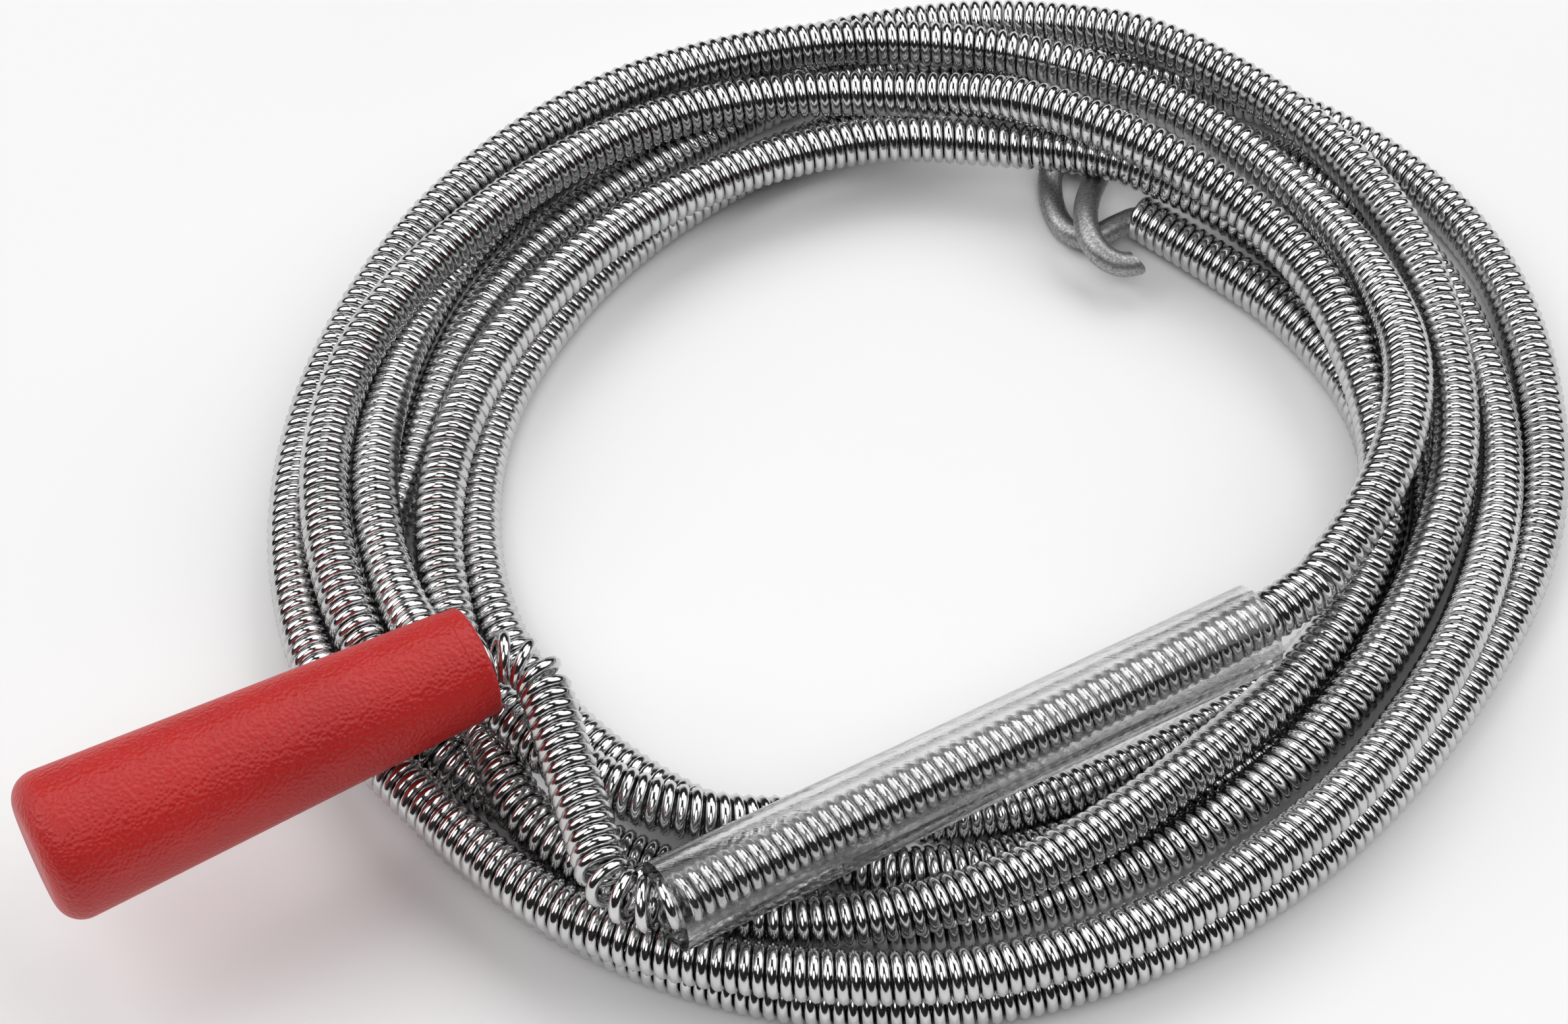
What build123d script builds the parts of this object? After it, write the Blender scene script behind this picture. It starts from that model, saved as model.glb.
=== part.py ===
from build123d import *
from math import radians, tan
import os

# A drain auger: a close-wound steel spring cable lying in a loose coil. At one end the same spring is
# bent twice into a hand crank, which carries a plastic grip, and a clear sleeve turns on the stretch
# beside the crank. At the other end a thick wire hook sits in the spring's bore.
# Millimetres, +Z up. The origin is on the floor, at the middle of the whole object's outline.

UP = Vector(0, 0, 1)

# Spring cable
CABLE_D = 9.0            # outer diameter of the spring
WIRE_D = 2.1             # wire that the spring is wound from
CABLE_R = CABLE_D / 2
BORE_D = CABLE_D - 2 * WIRE_D

# Coil, as the space that its turns lie in
COIL_X = 13.6            # the coil's centre lies this far from the origin
COIL_INNER_R = 76.0
COIL_OUTER_R = 118.0
COIL_H = 19.0
COIL_TOP_ROUND = 7.5
COIL_FOOT_ROUND = 4.0
FOOT_R = (COIL_INNER_R + COIL_OUTER_R) / 2

# Places beside the coil, measured from its centre
LEAD = [                 # the lead rises out of the coil; its straight stretch starts at the last point
    Vector(86.2, 21.2, 16.5),
    Vector(86.0, 6.0, 18.8),
    Vector(83.5, -11.0, 20.3),
    Vector(76.0, -28.0, 21.3),
    Vector(65.5, -42.8, 22.0),
    Vector(51.4, -53.7, 22.5),
]
ARM_CORNER = Vector(-49.9, -111.9, 26.0)   # the corner between the lead and the crank arm
GRIP_CORNER = Vector(-66.3, -60.2, 31.0)   # the corner between the crank arm and the grip
GRIP_END = Vector(-140.8, -102.0, 31.0)    # the middle of the grip's closed end
CRANK_BEND_R = 8.0       # centreline radius of both corners
CRANK_LEAD_IN = 0.4      # the crank starts this far before its first arc
CUT_PAST = 1.0           # a cut runs on past the surface by this much

# Clear sleeve
SLEEVE_OD = 15.2
SLEEVE_ID = 11.4
SLEEVE_LENGTH = 112.0
SLEEVE_FROM_CORNER = 8.0 # from the arm corner to the sleeve's near end
SLEEVE_ROOM = 0.7        # clear space round the sleeve, where it lies in the coil
ROOM_TO_CRANK = 30.0     # that space runs on past the sleeve's near end by this much
ROOM_TO_LEAD = 8.0       # and past its far end by this much

# Grip
GRIP_MOUTH_FROM_CORNER = 9.0
GRIP_MOUTH_R = 9.4
GRIP_END_R = 12.6
GRIP_END_ROUND = 4.6
GRIP_MOUTH_ROUND = 1.0
RIM_LENGTH = 3.2         # a fine step runs round the grip this far from its mouth
RIM_STEP = 0.15
GRIP_BORE_CLEARANCE = 0.08
JOURNAL_LENGTH = 46.0    # the spring's length inside the grip
SHOULDER_GAP = 0.8       # the bore ends this far before the flared turns
POCKET_R = 6.9           # the wider pocket past the bore
POCKET_LENGTH = 6.0
RETAINER_R = 6.2         # the flared last turns of the spring, which can't pass the bore
RETAINER_LENGTH = 4.4

# Hook
HOOK_WIRE_D = BORE_D     # its straight shank fills the spring's bore
SHANK_DEPTH = 15.0
HEEL_BEND_R = 3.3        # the wire turns sharply aside where it leaves the spring
HEEL_FROM_END = 1.2      # that corner lies this far inside the spring's end
SHEAR_R = 4.7            # the shears that cropped the wire left a hollow end
SHEAR_AT = Vector(45.3, 47.0, 0.0)
SHEAR_H = 20.0
ARCH_AT = Vector(32.5, 72.0, 0.0)          # the hook's arch lies under the coil's inner turns here
ARCH_ROOM_R = 11.0
ARCH_ROOM_H = 9.0

# The tail runs along the coil's inside, from its own start inside the coil to the hook.
TAIL = [
    Vector(82.5, -16.0, 4.6),
    Vector(83.0, 2.5, 4.6),
    Vector(76.0, 20.8, 4.6),
    Vector(64.8, 37.2, 4.6),
    Vector(54.0, 49.9, 4.6),
    Vector(43.0, 59.3, 4.6),
]

# The hook's wire goes from its heel back along the floor, round its arch, over itself and to its tip.
HOOK = [
    Vector(39.2, 56.1, 4.2),
    Vector(34.6, 54.3, 3.2),
    Vector(30.2, 56.4, 2.8),
    Vector(27.8, 61.8, 2.7),
    Vector(27.3, 68.0, 2.7),
    Vector(28.8, 74.4, 3.0),
    Vector(33.0, 77.3, 3.8),
    Vector(36.7, 73.2, 4.8),
    Vector(36.0, 67.0, 6.2),
    Vector(34.1, 61.0, 7.8),
    Vector(33.0, 54.2, 9.0),
    Vector(33.7, 48.2, 9.0),
    Vector(36.2, 44.6, 8.2),
    Vector(39.7, 43.6, 7.3),
    Vector(44.3, 45.4, 6.6),
]


def placed(shape):
    """The shape, moved from the coil's centre to the part's origin."""
    return shape.moved(Location((COIL_X, 0, 0)))


def toward(start, end):
    return (end - start).normalized()


def rod(path_edge_or_wire, start, direction, radius):
    """A round rod along a path."""
    profile = Plane(origin=start, z_dir=direction) * Circle(radius)
    return sweep(profile, path=path_edge_or_wire)


def corner_radii(points):
    """The arc at each corner: 0.45 of the shorter run, divided by the tangent of half the turn."""
    radii = []
    for before, here, after in zip(points, points[1:], points[2:]):
        turn = radians((here - before).get_angle(after - here))
        shorter = min((here - before).length, (after - here).length)
        radii.append(0.45 * shorter / tan(turn / 2))
    return radii


def cable_along(name, points):
    """The cable's tube along straight runs joined by arcs."""
    radii = corner_radii(points)
    print(name, "radii", [round(r, 1) for r in radii])
    path = FilletPolyline(*points, radius=radii)
    return rod(path, points[0], toward(points[0], points[1]), CABLE_R)


def straight_tube(start, direction, length, radius):
    return Solid.make_cylinder(radius, length, Plane(origin=start, z_dir=direction))


lead_dir = toward(LEAD[-1], ARM_CORNER)
arm_dir = toward(ARM_CORNER, GRIP_CORNER)
grip_dir = toward(GRIP_CORNER, GRIP_END)
tail_dir = toward(TAIL[-2], TAIL[-1])
grip_mouth = GRIP_CORNER + grip_dir * GRIP_MOUTH_FROM_CORNER
grip_length = (GRIP_END - grip_mouth).length
sleeve_near = ARM_CORNER - lead_dir * SLEEVE_FROM_CORNER
sleeve_far = sleeve_near - lead_dir * SLEEVE_LENGTH

# The lead ends, and the crank starts, at the beginning of the arm corner's arc.
arm_turn = radians(lead_dir.get_angle(arm_dir))
corner_start = ARM_CORNER - lead_dir * (CRANK_BEND_R * tan(arm_turn / 2) + CRANK_LEAD_IN)


def make_coil():
    """The ring that the coil's turns fill, with room for the sleeve where it lies across them."""
    with BuildSketch(Plane.XZ) as section:
        with Locations((FOOT_R, COIL_H / 2)):
            Rectangle(COIL_OUTER_R - COIL_INNER_R, COIL_H)
        corners = section.vertices()
        fillet([v for v in corners if v.Y > COIL_H / 2], COIL_TOP_ROUND)
        feet = [v for v in section.vertices() if v.Y < 0.01]
        fillet(feet, COIL_FOOT_ROUND)
    ring = revolve(section.sketch, axis=Axis.Z, revolution_arc=360)
    room_length = ROOM_TO_CRANK + SLEEVE_LENGTH + ROOM_TO_LEAD
    room_start = sleeve_near + lead_dir * ROOM_TO_CRANK
    sleeve_room = straight_tube(room_start, -lead_dir, room_length, SLEEVE_OD / 2 + SLEEVE_ROOM)
    arch_foot = ARCH_AT - UP * CUT_PAST
    arch_room = straight_tube(arch_foot, UP, ARCH_ROOM_H + CUT_PAST, ARCH_ROOM_R)
    return ring - sleeve_room - arch_room


def make_lead():
    """The cable from inside the coil, through the sleeve, to the crank."""
    return cable_along("lead", LEAD + [corner_start])


def make_crank():
    """The same spring, bent at two tight corners: arm corner, arm, grip corner and journal."""
    journal_end = grip_mouth + grip_dir * JOURNAL_LENGTH
    points = [corner_start, ARM_CORNER, GRIP_CORNER, journal_end]
    path = FilletPolyline(*points, radius=CRANK_BEND_R)
    print("crank radii", [CRANK_BEND_R, CRANK_BEND_R])
    return rod(path, corner_start, lead_dir, CABLE_R)


def make_retainer():
    """The spring's last turns, flared so that the grip can't slide off."""
    start = grip_mouth + grip_dir * JOURNAL_LENGTH
    return straight_tube(start, grip_dir, RETAINER_LENGTH, RETAINER_R)


def make_grip():
    """The tapered grip: closed at its thick end, with a running bore and a pocket for the flare."""
    rim_r = GRIP_MOUTH_R + (GRIP_END_R - GRIP_MOUTH_R) * RIM_LENGTH / grip_length
    with BuildSketch(Plane.XZ) as half:
        with BuildLine():
            Polyline(
                (0, 0),
                (GRIP_MOUTH_R - RIM_STEP, 0),
                (rim_r - RIM_STEP, RIM_LENGTH),
                (rim_r, RIM_LENGTH + RIM_STEP),
                (GRIP_END_R, grip_length),
                (0, grip_length),
                close=True,
            )
        make_face()
        end_corner = half.vertices().group_by(Axis.Y)[-1].sort_by(Axis.X)[-1]
        fillet(end_corner, GRIP_END_ROUND)
        mouth_corner = half.vertices().group_by(Axis.Y)[0].sort_by(Axis.X)[-1]
        fillet(mouth_corner, GRIP_MOUTH_ROUND)
    solid = revolve(half.sketch, axis=Axis.Z, revolution_arc=360)
    bore_r = CABLE_R + GRIP_BORE_CLEARANCE
    bore_length = JOURNAL_LENGTH - SHOULDER_GAP
    solid -= Solid.make_cylinder(bore_r, bore_length)
    solid -= Pos(0, 0, bore_length) * Solid.make_cylinder(POCKET_R, POCKET_LENGTH)
    return Plane(origin=grip_mouth, z_dir=grip_dir) * solid


def make_sleeve():
    outer = straight_tube(sleeve_far, lead_dir, SLEEVE_LENGTH, SLEEVE_OD / 2)
    inner = straight_tube(sleeve_far, lead_dir, SLEEVE_LENGTH, SLEEVE_ID / 2)
    return outer - inner


def make_tail():
    """The cable's last stretch, with its bore open for the hook's shank."""
    end = TAIL[-1]
    tube = cable_along("tail", TAIL)
    shank_start = end - tail_dir * SHANK_DEPTH
    return tube - straight_tube(shank_start, tail_dir, SHANK_DEPTH + CUT_PAST, BORE_D / 2)


def make_hook():
    """One bent wire: a straight shank in the spring's bore, a sharp heel, then the open loop."""
    shank_start = TAIL[-1] - tail_dir * SHANK_DEPTH
    heel = TAIL[-1] - tail_dir * HEEL_FROM_END
    heel_path = FilletPolyline(shank_start, heel, HOOK[0], radius=HEEL_BEND_R)
    end_ways = (toward(heel, HOOK[0]), toward(HOOK[-2], HOOK[-1]))
    loop_path = Spline(*HOOK, tangents=end_ways, tangent_scalars=(1, 1))
    wire = rod(Wire(heel_path.edges() + loop_path.edges()), shank_start, tail_dir, HOOK_WIRE_D / 2)
    shear = straight_tube(SHEAR_AT, UP, SHEAR_H, SHEAR_R)
    return wire - shear


PARTS = {
    "cable_coil": make_coil,
    "cable_lead": make_lead,
    "crank_spring": make_crank,
    "retaining_turns": make_retainer,
    "grip": make_grip,
    "clear_sleeve": make_sleeve,
    "cable_tail": make_tail,
    "retrieving_hook": make_hook,
}

os.makedirs("parts", exist_ok=True)
for name, make in PARTS.items():
    export_step(placed(make()), f"parts/{name}.step")
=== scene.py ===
from math import atan2, ceil, pi, radians

import bpy
import numpy as np
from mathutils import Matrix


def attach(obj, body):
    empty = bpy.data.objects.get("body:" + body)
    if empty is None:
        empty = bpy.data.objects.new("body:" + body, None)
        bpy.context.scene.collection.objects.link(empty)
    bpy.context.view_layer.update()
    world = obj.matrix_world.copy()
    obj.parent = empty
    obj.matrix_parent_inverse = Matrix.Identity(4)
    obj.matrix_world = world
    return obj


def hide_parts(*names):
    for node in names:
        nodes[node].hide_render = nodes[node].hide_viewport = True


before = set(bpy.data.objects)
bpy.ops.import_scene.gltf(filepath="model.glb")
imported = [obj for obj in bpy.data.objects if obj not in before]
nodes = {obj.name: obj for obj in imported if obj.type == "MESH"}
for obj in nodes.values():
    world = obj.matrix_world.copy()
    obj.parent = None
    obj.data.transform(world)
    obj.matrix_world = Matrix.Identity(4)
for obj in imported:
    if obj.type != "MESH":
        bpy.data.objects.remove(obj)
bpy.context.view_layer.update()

MM = 0.001

# Spring cable, in millimetres
CABLE_D = 9.0
WIRE_D = 2.1
HELIX_R = (CABLE_D - WIRE_D) / 2
FLARE_R = 5.1             # the last turns, inside the grip, are wound this much wider
FLARE_LENGTH = 4.4
FLARE_PAST = 0.4          # the flare's taper ends this far past its length
FLARE_TAPER = 2

# The coil's centre, and the route beside it, measured from that centre, as in the CAD model
COIL_X = 13.6
ARM_CORNER = (-49.9, -111.9, 26.0)
GRIP_CORNER = (-66.3, -60.2, 31.0)
GRIP_END = (-140.8, -102.0, 31.0)
GRIP_MOUTH_FROM_CORNER = 9.0
JOURNAL_LENGTH = 46.0
ARM_BEND = [(-54.4, -97.6, 27.4), (-51.9, -105.5, 26.6), (-44.1, -108.6, 25.8), (-36.8, -104.4, 25.5)]
GRIP_BEND = [(-78.2, -66.9, 31.0), (-71.6, -63.2, 31.0), (-64.5, -66.0, 30.4), (-62.2, -73.2, 29.7)]
LEAD = [(51.4, -53.7, 22.5), (65.5, -42.8, 22.0)]
TAIL = [(54.0, 49.9, 4.6), (43.0, 59.3, 4.6)]
SLEEVE_FROM_CORNER = 8.0
SLEEVE_LENGTH = 112.0
SLEEVE_R = 7.6
HOOK_LOOP = [(39.2, 56.1, 4.2), (34.6, 54.3, 3.2), (27.8, 61.8, 2.7), (28.8, 74.4, 3.0),
             (33.0, 77.3, 3.8), (36.7, 73.2, 4.8), (34.1, 61.0, 7.8)]
HOOK_R = 2.4

# The coil's turns, counter-clockwise from above. Each row has the turn's radius and its height above
# the floor at every 30 degrees. The first row starts at bearing -30, where the lead comes in.
STEP_DEG = 30
FIRST_DEG = -30
TURNS = [
    ([78, 85.6, 92, 95, 97.5, 100, 104, 110.5, 115.5, 115.5, 113.5, 106],
     [21.5, 20.5, 13, 13, 13.5, 14, 12.5, 9.5, 11.5, 13.5, 13.5, 13]),
    ([102, 105, 107.5, 99, 100.5, 88.5, 88.5, 91.5, 109.5, 114.5, 113, 107],
     [13, 6.5, 4.5, 4.5, 4.5, 4.5, 4.5, 4.5, 4.5, 4.5, 4.5, 4.5]),
    ([105.5, 113, 120, 110, 87, 76.5, 74.5, 79, 84.5, 86.5, 87, 85],
     [4.5, 4.5, 4.5, 4.5, 4.5, 4.5, 4.5, 4.5, 4.5, 4.5, 4.5, 4.5]),
    ([90, 93, 85, 76.5, 73, 71.5, 74.5, 83, 95, 111.5, 100, 85.5],
     [4.5, 4.5, 8, 12.5, 11.5, 12.5, 13.5, 13, 11, 13.5, 13.5, 13.5]),
    ([83, 82.3, 80, 75, 82, 89.5, 94, 104.5, 108, 99.5, 98.5, 92],
     [13, 13.5, 16.5, 21.5, 14, 13, 16, 15.5, 14, 5, 4.5, 7.5]),
    ([91.5, 95.5, 104, 109, 110, 100, 97, 98, 99, 96, 81.5, 79],
     [11.5, 12.5, 13, 12.5, 5.5, 6, 7.5, 11, 14, 18, 6, 4.5]),
    ([82, 84, 77], [4.5, 4.5, 4.5]),
]
FLOOR_Z = CABLE_D / 2
POINT_DEG = 5             # the coil's route has a point at every 5 degrees
LINE_SPACING = 0.5        # between the points read from the finished route
SETTLE_ROUNDS = 160
OTHER_TURN_DEG = 120      # points further apart than this along the coil are on different turns
STIFFNESS = 0.08          # the share of a bow's unevenness that each round takes out
PULL_BACK = 0.04          # the share of the way back to where a point was laid
TOUCH_GAP = 0.1
SLEEVE_GAP = 0.3


def unit(v):
    return v / np.linalg.norm(v)


arm_corner = np.array(ARM_CORNER)
grip_corner = np.array(GRIP_CORNER)
grip_end = np.array(GRIP_END)
lead_dir = unit(arm_corner - np.array(LEAD[0]))
grip_dir = unit(grip_end - grip_corner)
grip_mouth = grip_corner + grip_dir * GRIP_MOUTH_FROM_CORNER
sleeve_near = arm_corner - lead_dir * SLEEVE_FROM_CORNER
sleeve_far = sleeve_near - lead_dir * SLEEVE_LENGTH


def placed(point):
    """A point measured from the coil's centre, in the row frame, in metres."""
    return ((point[0] + COIL_X) * MM, point[1] * MM, point[2] * MM)


# ---------------------------------------------------------------- the cable's route

def smooth_between(values, at):
    """A smooth curve through evenly spaced values, read at fractional positions."""
    values = np.asarray(values, float)
    slope = np.gradient(values)
    i = np.clip(np.floor(at).astype(int), 0, len(values) - 2)
    t = at - i
    return ((2 * t**3 - 3 * t**2 + 1) * values[i] + (t**3 - 2 * t**2 + t) * slope[i]
            + (3 * t**2 - 2 * t**3) * values[i + 1] + (t**3 - t**2) * slope[i + 1])


def laid_turns():
    """The coil's turns as they were laid: bearings, and points measured from the coil's centre."""
    radii = [r for turn in TURNS for r in turn[0]]
    heights = [z for turn in TURNS for z in turn[1]]
    bearing = np.arange(0, (len(radii) - 1) * STEP_DEG + 0.1, POINT_DEG)
    radius = smooth_between(radii, bearing / STEP_DEG)
    height = np.maximum(smooth_between(heights, bearing / STEP_DEG), FLOOR_Z)
    angle = np.radians(bearing + FIRST_DEG)
    return bearing, np.stack([radius * np.cos(angle), radius * np.sin(angle), height], axis=1)


def keep_off(points, start, end, room):
    """Moves the points out of the space round a straight run."""
    along = end - start
    share = np.clip(((points - start) @ along) / (along @ along), 0, 1)[:, None]
    away = points - (start + share * along)
    distance = np.linalg.norm(away, axis=1)
    near = distance < room
    points[near] += away[near] * ((room - distance[near]) / distance[near])[:, None]


def settled_turns():
    """The turns after rounds of pushing each other apart, and off the sleeve, crank arm and hook."""
    bearing, laid = laid_turns()
    points = laid.copy()
    other_turn = np.abs(bearing[:, None] - bearing[None, :]) > OTHER_TURN_DEG
    hook = [np.array(p) for p in HOOK_LOOP]
    free = (bearing > 15) & (bearing < bearing[-1] - 10)
    for _ in range(SETTLE_ROUNDS):
        bow = np.zeros_like(points)
        bow[1:-1] = (points[:-2] + points[2:]) / 2 - points[1:-1]
        points[2:-2] -= STIFFNESS * (bow[1:-3] + bow[3:-1] - 2 * bow[2:-2])
        points += PULL_BACK * (laid - points)
        gap = points[:, None, :] - points[None, :, :]
        distance = np.linalg.norm(gap, axis=2) + 1e-9
        near = other_turn & (distance < CABLE_D + TOUCH_GAP)
        push = np.where(near, (CABLE_D + TOUCH_GAP - distance) / distance, 0)[:, :, None] * gap
        points += 0.5 * push.sum(axis=1) / np.clip(near.sum(axis=1), 1, 2)[:, None]
        loose = points[free]
        keep_off(loose, sleeve_near, sleeve_far, CABLE_D / 2 + SLEEVE_R + SLEEVE_GAP)
        keep_off(loose, arm_corner, grip_corner, CABLE_D + TOUCH_GAP)
        for a, b in zip(hook, hook[1:]):
            keep_off(loose, a, b, CABLE_D / 2 + HOOK_R + TOUCH_GAP)
        points[free] = loose
        points[:, 2] = np.maximum(points[:, 2], FLOOR_Z)
    return points


def route_points():
    """The cable from inside the grip, round the crank, through the sleeve and the coil, to the hook."""
    journal_end = grip_mouth + grip_dir * (JOURNAL_LENGTH + FLARE_LENGTH)
    return [journal_end, *GRIP_BEND, *ARM_BEND, *LEAD, *settled_turns(), *TAIL]


def make_route():
    """The route as a NURBS curve, and the evenly spaced points that it passes, in millimetres."""
    points = route_points()
    curve = bpy.data.curves.new("cable_route", "CURVE")
    curve.dimensions = "3D"
    curve.resolution_u = 12
    spline = curve.splines.new("NURBS")
    spline.points.add(len(points) - 1)
    for place, point in zip(spline.points, points):
        place.co = (*placed(point), 1.0)
    spline.order_u = 3
    spline.use_endpoint_u = True
    route = bpy.data.objects.new("cable_route", curve)
    bpy.context.scene.collection.objects.link(route)
    bpy.context.view_layer.update()
    mesh = bpy.data.meshes.new_from_object(route.evaluated_get(bpy.context.evaluated_depsgraph_get()))
    line = np.array([v.co[:] for v in mesh.vertices]) / MM
    bpy.data.meshes.remove(mesh)
    bpy.data.objects.remove(route)
    return evenly(line, LINE_SPACING)


def evenly(line, spacing):
    """The line's points again, evenly spaced."""
    run = np.concatenate([[0], np.cumsum(np.linalg.norm(np.diff(line, axis=0), axis=1))])
    at = np.linspace(0, run[-1], int(ceil(run[-1] / spacing)) + 1)
    return np.stack([np.interp(at, run, line[:, k]) for k in range(3)], axis=1)


# ---------------------------------------------------------------- meshes

def add_mesh(name, vertices, quads, caps, material):
    """A smooth mesh of quads, closed by a cap at each end."""
    loops = np.concatenate([quads.ravel()] + [np.asarray(cap) for cap in caps])
    sizes = np.array([4] * len(quads) + [len(cap) for cap in caps])
    mesh = bpy.data.meshes.new(name)
    mesh.vertices.add(len(vertices))
    mesh.vertices.foreach_set("co", np.asarray(vertices, np.float32).ravel())
    mesh.loops.add(len(loops))
    mesh.loops.foreach_set("vertex_index", loops.astype(np.int32))
    mesh.polygons.add(len(sizes))
    mesh.polygons.foreach_set("loop_start", (np.cumsum(sizes) - sizes).astype(np.int32))
    mesh.update(calc_edges=True)
    mesh.validate()
    mesh.polygons.foreach_set("use_smooth", np.full(len(sizes), True))
    mesh.materials.append(material)
    obj = bpy.data.objects.new(name, mesh)
    bpy.context.scene.collection.objects.link(obj)
    return obj


def frames_along(line):
    """Tangents, and sideways directions that turn as little as they can."""
    tangent = np.gradient(line, axis=0)
    tangent /= np.linalg.norm(tangent, axis=1)[:, None]
    side = np.zeros_like(line)
    side[0] = unit(np.cross(tangent[0], (0, 0, 1)))
    for i in range(1, len(line)):
        v = side[i - 1] - tangent[i] * (side[i - 1] @ tangent[i])
        side[i] = v / np.linalg.norm(v)
    return tangent, side, np.cross(tangent, side)


def tube_mesh(centres, outward, along, radius, corners):
    """Vertices and faces of a closed round tube whose rings lie in outward and sideways directions."""
    count = len(centres)
    turn = np.linspace(0, 2 * pi, corners, endpoint=False)
    across = np.cross(along, outward)
    rings = (centres[:, None, :] + radius * (np.cos(turn)[None, :, None] * outward[:, None, :]
                                             + np.sin(turn)[None, :, None] * across[:, None, :]))
    a = np.arange(count - 1)[:, None] * corners + np.arange(corners)[None, :]
    b = np.arange(count - 1)[:, None] * corners + (np.arange(corners)[None, :] + 1) % corners
    quads = np.stack([a, b, b + corners, a + corners], axis=2).reshape(-1, 4)
    return rings.reshape(-1, 3), quads


SEGMENTS_PER_TURN = 20
WIRE_CORNERS = 8
PITCH_PLAY = 0.012        # the turns' spacing varies by about this share


def make_cable(line):
    """The spring: its wire wound round the route, its turns touching inside each bend."""
    step = np.linalg.norm(line[1] - line[0])
    tangent, side, up = frames_along(line)
    bend = np.linalg.norm(np.gradient(tangent, axis=0), axis=1) / step
    bend = np.convolve(np.pad(bend, 4, mode="edge"), np.ones(9) / 9, mode="valid")
    run = np.arange(len(line)) * step
    play = 1 + PITCH_PLAY * (np.sin(run * 0.31) + np.sin(run * 0.083 + 1.0)) / 2
    pitch = WIRE_D * (1.004 + PITCH_PLAY / 2 * play) / (1 - bend * HELIX_R)
    turns = np.concatenate([[0], np.cumsum(step / pitch[:-1])])
    at = np.interp(np.arange(0, turns[-1] * SEGMENTS_PER_TURN) / SEGMENTS_PER_TURN, turns, run)

    def read(values):
        return np.stack([np.interp(at, run, values[:, k]) for k in range(3)], axis=1)

    centre, side, up = read(line), read(side), read(up)
    flare = np.clip((FLARE_LENGTH + FLARE_PAST - at) / FLARE_TAPER, 0, 1)
    helix_r = (HELIX_R + (FLARE_R - HELIX_R) * flare * flare * (3 - 2 * flare))[:, None]
    angle = (2 * pi * np.arange(len(at)) / SEGMENTS_PER_TURN)[:, None]
    outward = np.cos(angle) * side + np.sin(angle) * up
    outward /= np.linalg.norm(outward, axis=1)[:, None]
    wire = centre + helix_r * outward
    along = np.gradient(wire, axis=0)
    along /= np.linalg.norm(along, axis=1)[:, None]
    outward -= along * (outward * along).sum(axis=1)[:, None]
    outward /= np.linalg.norm(outward, axis=1)[:, None]
    vertices, quads = tube_mesh(wire, outward, along, WIRE_D / 2, WIRE_CORNERS)
    last = len(vertices) - WIRE_CORNERS
    caps = [np.arange(WIRE_CORNERS)[::-1], last + np.arange(WIRE_CORNERS)]
    return add_mesh("wound_cable", vertices * MM, quads, caps, spring_steel())


# ---------------------------------------------------------------- materials

def new_material(name):
    material = bpy.data.materials.new(name)
    material.use_nodes = True
    shader = material.node_tree.nodes["Principled BSDF"]
    return material, material.node_tree.nodes, material.node_tree.links, shader


def noise(tree_nodes, links, coordinates, scale, detail=3.0, roughness=0.55):
    texture = tree_nodes.new("ShaderNodeTexNoise")
    texture.inputs["Scale"].default_value = scale
    texture.inputs["Detail"].default_value = detail
    texture.inputs["Roughness"].default_value = roughness
    links.new(coordinates, texture.inputs["Vector"])
    return texture.outputs["Fac"]


def ramp(tree_nodes, links, value, stops):
    node = tree_nodes.new("ShaderNodeValToRGB")
    while len(node.color_ramp.elements) < len(stops):
        node.color_ramp.elements.new(0.5)
    for element, (place, colour) in zip(node.color_ramp.elements, stops):
        element.position = place
        element.color = (*colour, 1.0) if len(colour) == 3 else colour
    links.new(value, node.inputs["Fac"])
    return node.outputs["Color"]


def bump(tree_nodes, links, height, distance, strength=1.0, under=None):
    node = tree_nodes.new("ShaderNodeBump")
    node.inputs["Distance"].default_value = distance
    node.inputs["Strength"].default_value = strength
    links.new(height, node.inputs["Height"])
    if under is not None:
        links.new(under, node.inputs["Normal"])
    return node.outputs["Normal"]


def object_coordinates(tree_nodes):
    return tree_nodes.new("ShaderNodeTexCoord").outputs["Object"]


def grey(value):
    return (value, value, value)


def spring_steel():
    material, tree_nodes, links, shader = new_material("spring_steel")
    where = object_coordinates(tree_nodes)
    shader.inputs["Metallic"].default_value = 1.0
    tone = noise(tree_nodes, links, where, 60.0)
    links.new(ramp(tree_nodes, links, tone, [(0.3, grey(0.54)), (0.7, grey(0.68))]),
              shader.inputs["Base Color"])
    wear = noise(tree_nodes, links, where, 900.0, 4.0)
    links.new(ramp(tree_nodes, links, wear, [(0.35, grey(0.09)), (0.7, grey(0.20))]),
              shader.inputs["Roughness"])
    fine = noise(tree_nodes, links, where, 2600.0, 2.0)
    links.new(bump(tree_nodes, links, fine, 0.00002, 0.6), shader.inputs["Normal"])
    return material


def galvanised():
    material, tree_nodes, links, shader = new_material("galvanised_wire")
    where = object_coordinates(tree_nodes)
    shader.inputs["Metallic"].default_value = 1.0
    speckle = noise(tree_nodes, links, where, 2200.0, 5.0, 0.7)
    links.new(ramp(tree_nodes, links, speckle, [(0.3, grey(0.16)), (0.5, grey(0.36)), (0.72, grey(0.62))]),
              shader.inputs["Base Color"])
    links.new(ramp(tree_nodes, links, speckle, [(0.3, grey(0.52)), (0.7, grey(0.34))]),
              shader.inputs["Roughness"])
    links.new(bump(tree_nodes, links, speckle, 0.0001, 0.5), shader.inputs["Normal"])
    return material


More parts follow.
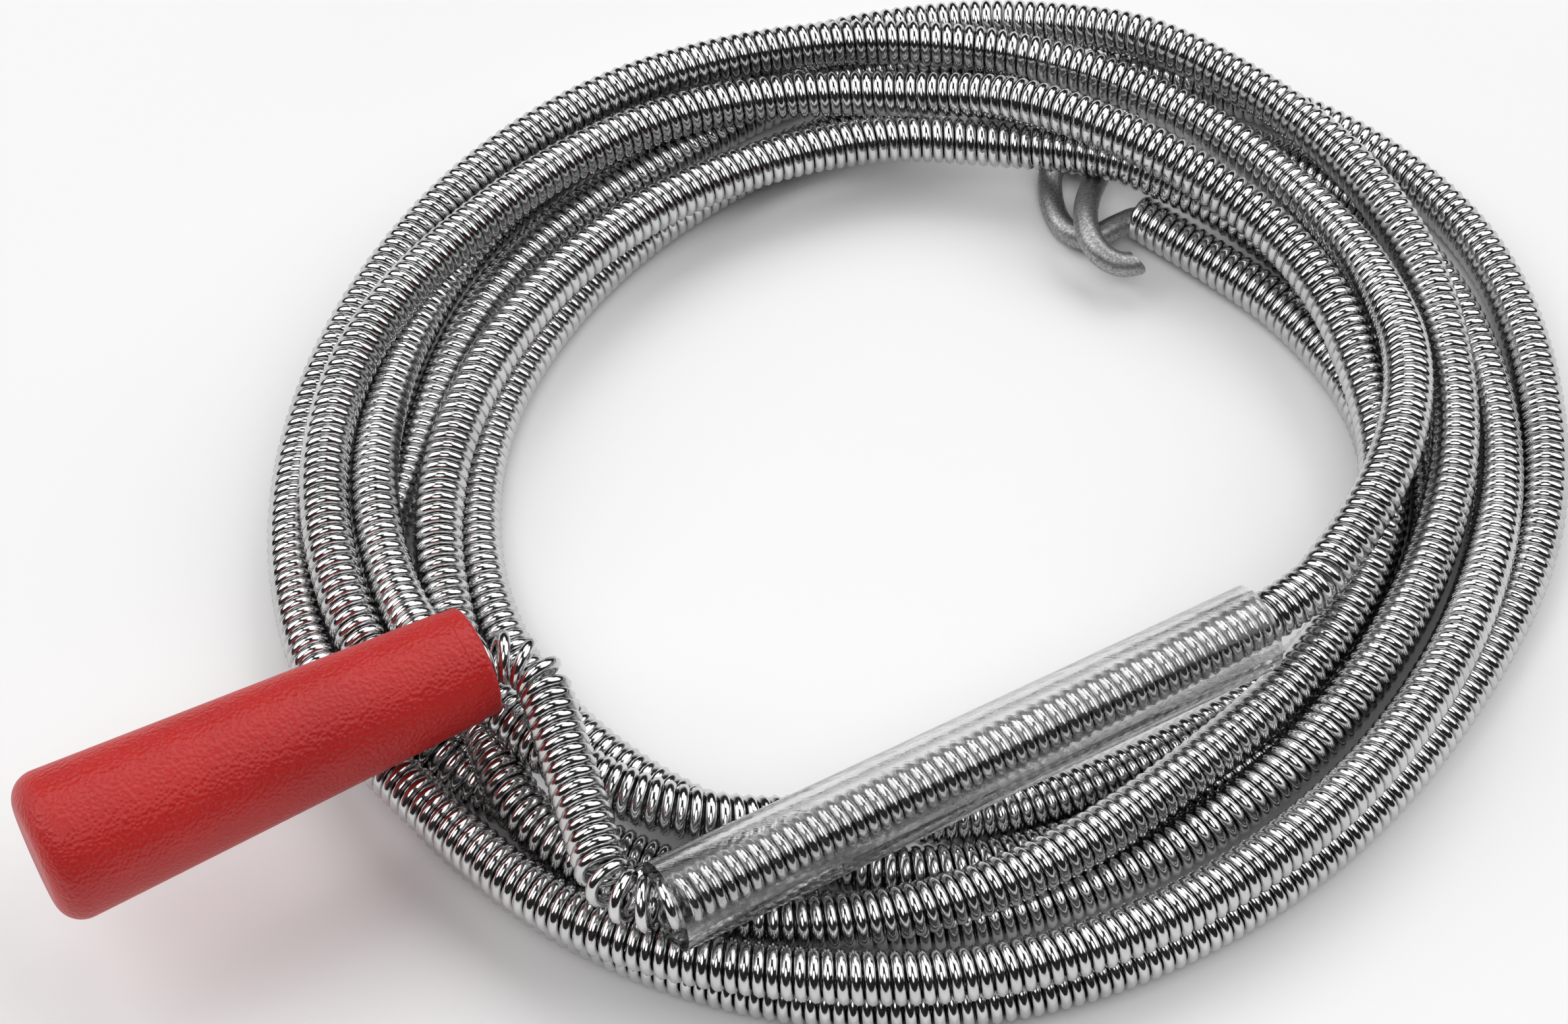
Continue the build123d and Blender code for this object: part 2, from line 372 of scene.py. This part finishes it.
def red_grip():
    material, tree_nodes, links, shader = new_material("red_grip")
    where = object_coordinates(tree_nodes)
    broad = noise(tree_nodes, links, where, 45.0)
    links.new(ramp(tree_nodes, links, broad, [(0.3, (0.47, 0.010, 0.009)), (0.7, (0.57, 0.015, 0.012))]),
              shader.inputs["Base Color"])
    shader.inputs["Roughness"].default_value = 0.42
    shader.inputs["Specular IOR Level"].default_value = 0.5
    pebbles = tree_nodes.new("ShaderNodeTexVoronoi")
    pebbles.feature = "SMOOTH_F1"
    pebbles.inputs["Scale"].default_value = 1500.0
    pebbles.inputs["Smoothness"].default_value = 0.6
    links.new(where, pebbles.inputs["Vector"])
    grain = bump(tree_nodes, links, pebbles.outputs["Distance"], 0.0003, 0.7)
    fine = noise(tree_nodes, links, where, 4000.0, 3.0)
    links.new(bump(tree_nodes, links, fine, 0.00004, 0.5, grain), shader.inputs["Normal"])
    return material


def clear_tube():
    material, tree_nodes, links, shader = new_material("clear_tube")
    shader.inputs["Transmission Weight"].default_value = 1.0
    shader.inputs["IOR"].default_value = 1.34
    shader.inputs["Roughness"].default_value = 0.02
    shader.inputs["Coat Weight"].default_value = 0.35
    shader.inputs["Coat Roughness"].default_value = 0.08
    along = tree_nodes.new("ShaderNodeMapping")
    along.vector_type = "POINT"
    along.inputs["Rotation"].default_value = (0.0, 0.0, -atan2(-lead_dir[1], -lead_dir[0]))
    along.inputs["Scale"].default_value = (0.012, 1.0, 1.0)
    links.new(object_coordinates(tree_nodes), along.inputs["Vector"])
    streaks = noise(tree_nodes, links, along.outputs["Vector"], 900.0, 4.0, 0.6)
    edge = tree_nodes.new("ShaderNodeLayerWeight")
    edge.inputs["Blend"].default_value = 0.32
    tint = tree_nodes.new("ShaderNodeMix")
    tint.data_type = "RGBA"
    tint.blend_type = "MULTIPLY"
    tint.inputs["Factor"].default_value = 1.0
    links.new(ramp(tree_nodes, links, edge.outputs["Facing"],
                   [(0.10, grey(0.97)), (0.45, grey(0.88)), (0.90, grey(0.60))]), tint.inputs["A"])
    links.new(ramp(tree_nodes, links, streaks, [(0.35, grey(0.86)), (0.6, grey(1.0))]), tint.inputs["B"])
    links.new(tint.outputs["Result"], shader.inputs["Base Color"])
    links.new(bump(tree_nodes, links, streaks, 0.00015, 0.5), shader.inputs["Normal"])
    return material


def plain_floor():
    material, tree_nodes, links, shader = new_material("floor")
    where = object_coordinates(tree_nodes)
    tone = noise(tree_nodes, links, where, 3.0)
    links.new(ramp(tree_nodes, links, tone, [(0.3, grey(0.93)), (0.7, grey(0.96))]),
              shader.inputs["Base Color"])
    shader.inputs["Roughness"].default_value = 0.8
    return material


# ---------------------------------------------------------------- the object

line = make_route()
cable = make_cable(line)
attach(cable, "cable")
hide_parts("cable_coil", "cable_lead", "crank_spring", "retaining_turns", "cable_tail")
hook = nodes["retrieving_hook"]
sleeve = nodes["clear_sleeve"]
grip = nodes["grip"]


def dress(obj, material):
    obj.data.materials.clear()
    obj.data.materials.append(material)


dress(hook, galvanised())
dress(grip, red_grip())
dress(sleeve, clear_tube())

# ---------------------------------------------------------------- stage, light and camera

FLOOR_SIZE_M = 8.0

bpy.ops.mesh.primitive_plane_add(size=FLOOR_SIZE_M, location=(0, 0, 0))
floor = bpy.context.object
floor.name = "floor"
floor.data.materials.append(plain_floor())


def soft_sun(name, azimuth, elevation, width, strength):
    """A soft light from far away: azimuth 0 is the +Y side and 90 the +X side."""
    light = bpy.data.lights.new(name, "SUN")
    light.angle = radians(width)
    light.energy = strength
    obj = bpy.data.objects.new(name, light)
    obj.rotation_euler = (radians(90 - elevation), 0.0, radians(180 - azimuth))
    bpy.context.scene.collection.objects.link(obj)


# name, azimuth, elevation, width in degrees, strength
SOFTBOXES = [
    ("softbox_left", -80, 44, 56, 1.38),
    ("softbox_right", 75, 44, 56, 1.26),
    ("softbox_back", 5, 52, 40, 0.86),
    ("softbox_front", 185, 60, 34, 0.62),
]
for softbox in SOFTBOXES:
    soft_sun(*softbox)

WORLD_STRENGTH = 0.02

world = bpy.data.worlds.new("studio")
bpy.context.scene.world = world
world.use_nodes = True
world.node_tree.nodes["Background"].inputs["Color"].default_value = (1.0, 1.0, 1.0, 1.0)
world.node_tree.nodes["Background"].inputs["Strength"].default_value = WORLD_STRENGTH
bpy.context.scene.view_settings.view_transform = "Standard"

LENS_MM = 72.3
SENSOR_MM = 36.0
CAMERA_AT = (-24.6, -360.3, 448.2)   # from the coil's centre, in millimetres
CAMERA_TILT_DEG = 38.0

camera_data = bpy.data.cameras.new("camera")
camera_data.lens = LENS_MM
camera_data.sensor_width = SENSOR_MM
camera = bpy.data.objects.new("camera", camera_data)
camera.location = placed(CAMERA_AT)
camera.rotation_euler = (radians(CAMERA_TILT_DEG), 0.0, 0.0)
bpy.context.scene.collection.objects.link(camera)
bpy.context.scene.camera = camera
